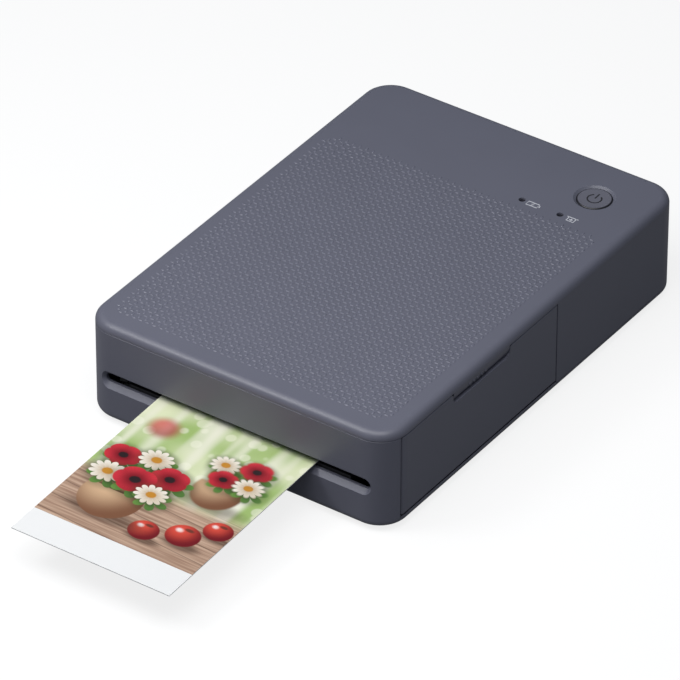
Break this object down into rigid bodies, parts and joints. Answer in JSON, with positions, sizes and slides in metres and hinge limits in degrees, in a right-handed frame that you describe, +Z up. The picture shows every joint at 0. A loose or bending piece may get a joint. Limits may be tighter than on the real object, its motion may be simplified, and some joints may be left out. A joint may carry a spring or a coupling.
{
  "type": "compact photo printer",
  "caption": "Flat pocket-size dye-transfer photo printer with a print slot in front, a ribbon-cassette door in one side, a paper cover below, and a print coming out.",
  "frame": {"origin": "on the table, under the middle of the box round printer and print", "axes": "+X to the printer's right side with the cassette door, +Y to the rear, +Z up"},
  "size_m": [0.1022, 0.2121, 0.0329],
  "materials": {
    "casing_plastic": "fine satin texture",
    "button_plastic": "satin",
    "inner_plastic": "plain",
    "lens_plastic": "clear smoked",
    "acetal": "plain",
    "sheet_steel": "zinc plated",
    "shaft_steel": "ground",
    "heat_sink": "extruded",
    "rubber": "matte",
    "paper": "smooth coated",
    "printed_paper": "glossy print",
    "ribbon": "thin film",
    "cassette_plastic": "plain",
    "circuit_board": "solder mask",
    "battery_wrap": "shrink wrap"
  },
  "bodies": {
    "casing": {"top_casing": "casing_plastic", "front_panel": "casing_plastic", "base_tray": "casing_plastic", "paper_cover_pins": "shaft_steel", "rubber_feet": "rubber", "casing_screws": "shaft_steel", "status_lights": "lens_plastic", "left_side_plate": "sheet_steel", "right_side_plate": "sheet_steel", "lower_paper_guide": "inner_plastic", "upper_paper_guide": "inner_plastic", "exit_guide": "inner_plastic", "shaft_bushes": "acetal", "gear_studs": "shaft_steel", "feed_motor": "sheet_steel", "head_pivot_shaft": "shaft_steel", "lift_motor": "sheet_steel", "cassette_frame": "cassette_plastic", "ribbon_film": "ribbon", "main_board": "circuit_board", "power_switch": "inner_plastic", "usb_socket": "sheet_steel", "battery_pack": "battery_wrap", "head_cable": "inner_plastic"},
    "door": {"cassette_door": "casing_plastic", "door_hinge_pins": "shaft_steel"},
    "paper_cover": {"paper_cover": "casing_plastic", "lift_spring": "sheet_steel"},
    "lift_plate": {"lift_plate": "sheet_steel", "paper_stack": "paper"},
    "button": {"power_button": "button_plastic"},
    "sheet": {"print_sheet": "printed_paper"},
    "capstan": {"capstan_roller": "shaft_steel", "capstan_gear": "acetal"},
    "pinch": {"pinch_roller": "rubber"},
    "platen": {"platen_roller": "rubber"},
    "pickup": {"pickup_roller": "rubber", "pickup_gear": "acetal"},
    "pickup_idler": {"pickup_idler_gear": "acetal"},
    "capstan_idler": {"capstan_idler_gear": "acetal"},
    "take_up": {"take_up_drive_gear": "acetal", "take_up_spool": "ribbon"},
    "front_idler": {"front_idler_gear": "acetal"},
    "middle_idler": {"middle_idler_gear": "acetal"},
    "rear_idler": {"rear_idler_gear": "acetal"},
    "reduction": {"reduction_gear": "acetal"},
    "pinion": {"motor_pinion": "acetal"},
    "supply": {"supply_spool": "ribbon", "supply_hub": "acetal"},
    "cam": {"head_cam_shaft": "shaft_steel", "cam_gear": "acetal"},
    "lift_pinion": {"lift_pinion": "acetal"},
    "head": {"head_stay": "sheet_steel", "thermal_head": "heat_sink"}
  },
  "joints": [
    {"name": "door_hinge", "type": "hinge", "parent": "casing", "child": "door", "pos_m": [0.0489, 0.00479, 0.0064], "axis": [0, 1, 0], "range_deg": [0, 95]},
    {"name": "paper_cover_hinge", "type": "hinge", "parent": "casing", "child": "paper_cover", "pos_m": [0, 0.07625, 0.0036], "axis": [1, 0, 0], "range_deg": [0, 90]},
    {"name": "lift_plate_hinge", "type": "hinge", "parent": "paper_cover", "child": "lift_plate", "pos_m": [0, 0.02515, 0.00375], "axis": [1, 0, 0], "range_deg": [-0.2, 0.6]},
    {"name": "button_press", "type": "slide", "parent": "casing", "child": "button", "axis": [0, 0, -1], "range_m": [0, 0.0005], "stiffness_N_per_m": 3000, "springref_m": -0.0003},
    {"name": "sheet_feed", "type": "slide", "parent": "casing", "child": "sheet", "axis": [0, -0.9993, -0.0384], "range_m": [-0.077, 0.016]},
    {"name": "capstan_spin", "type": "hinge", "parent": "casing", "child": "capstan", "pos_m": [-0.0428, -0.02685, 0.01155], "axis": [1, 0, 0], "continuous": true},
    {"name": "pinch_spin", "type": "hinge", "parent": "casing", "child": "pinch", "pos_m": [0, -0.02685, 0.01744], "axis": [1, 0, 0], "continuous": true},
    {"name": "platen_spin", "type": "hinge", "parent": "casing", "child": "platen", "pos_m": [0, 0.00215, 0.01186], "axis": [1, 0, 0], "continuous": true},
    {"name": "pickup_spin", "type": "hinge", "parent": "casing", "child": "pickup", "pos_m": [-0.0428, -0.01285, 0.01], "axis": [1, 0, 0], "continuous": true},
    {"name": "pickup_idler_spin", "type": "hinge", "parent": "casing", "child": "pickup_idler", "pos_m": [-0.0428, -0.01995, 0.00676], "axis": [1, 0, 0], "continuous": true},
    {"name": "capstan_idler_spin", "type": "hinge", "parent": "casing", "child": "capstan_idler", "pos_m": [-0.0428, -0.02303, 0.02036], "axis": [1, 0, 0], "continuous": true},
    {"name": "take_up_spin", "type": "hinge", "parent": "casing", "child": "take_up", "pos_m": [-0.0428, -0.01385, 0.02315], "axis": [1, 0, 0], "continuous": true},
    {"name": "front_idler_spin", "type": "hinge", "parent": "casing", "child": "front_idler", "pos_m": [-0.0428, -0.00134, 0.02161], "axis": [1, 0, 0], "continuous": true},
    {"name": "middle_idler_spin", "type": "hinge", "parent": "casing", "child": "middle_idler", "pos_m": [-0.0428, 0.01295, 0.01986], "axis": [1, 0, 0], "continuous": true},
    {"name": "rear_idler_spin", "type": "hinge", "parent": "casing", "child": "rear_idler", "pos_m": [-0.0428, 0.02724, 0.0181], "axis": [1, 0, 0], "continuous": true},
    {"name": "reduction_spin", "type": "hinge", "parent": "casing", "child": "reduction", "pos_m": [-0.0428, 0.03856, 0.01672], "axis": [1, 0, 0], "continuous": true},
    {"name": "pinion_spin", "type": "hinge", "parent": "casing", "child": "pinion", "pos_m": [-0.0428, 0.04747, 0.02474], "axis": [1, 0, 0], "continuous": true},
    {"name": "supply_spin", "type": "hinge", "parent": "casing", "child": "supply", "pos_m": [0, 0.02015, 0.02315], "axis": [1, 0, 0], "continuous": true},
    {"name": "cam_turn", "type": "hinge", "parent": "casing", "child": "cam", "pos_m": [0, 0.03785, 0.024], "axis": [1, 0, 0], "range_deg": [0, 180]},
    {"name": "lift_pinion_spin", "type": "hinge", "parent": "casing", "child": "lift_pinion", "pos_m": [0.0428, 0.04685, 0.024], "axis": [1, 0, 0], "range_deg": [-360, 0]},
    {"name": "head_swing", "type": "hinge", "parent": "casing", "child": "head", "pos_m": [0, 0.03165, 0.0286], "axis": [1, 0, 0], "range_deg": [0, 2.2]}
  ],
  "couplings": [
    {"joint": "pinch_spin", "follows": "capstan_spin", "ratio": -1.4545},
    {"joint": "platen_spin", "follows": "capstan_spin", "ratio": 0.8},
    {"joint": "pickup_idler_spin", "follows": "capstan_spin", "ratio": -1.8},
    {"joint": "pickup_spin", "follows": "capstan_spin", "ratio": 1.125},
    {"joint": "capstan_idler_spin", "follows": "capstan_spin", "ratio": -1.2857},
    {"joint": "take_up_spin", "follows": "capstan_spin", "ratio": 1},
    {"joint": "front_idler_spin", "follows": "capstan_spin", "ratio": -0.75},
    {"joint": "middle_idler_spin", "follows": "capstan_spin", "ratio": 0.75},
    {"joint": "rear_idler_spin", "follows": "capstan_spin", "ratio": -0.75},
    {"joint": "reduction_spin", "follows": "capstan_spin", "ratio": 1.2857},
    {"joint": "pinion_spin", "follows": "capstan_spin", "ratio": -3.8571},
    {"joint": "supply_spin", "follows": "capstan_spin", "ratio": 0.88889},
    {"joint": "lift_pinion_spin", "follows": "cam_turn", "ratio": -2},
    {"joint": "head_swing", "follows": "cam_turn", "ratio": 0.012222}
  ]
}
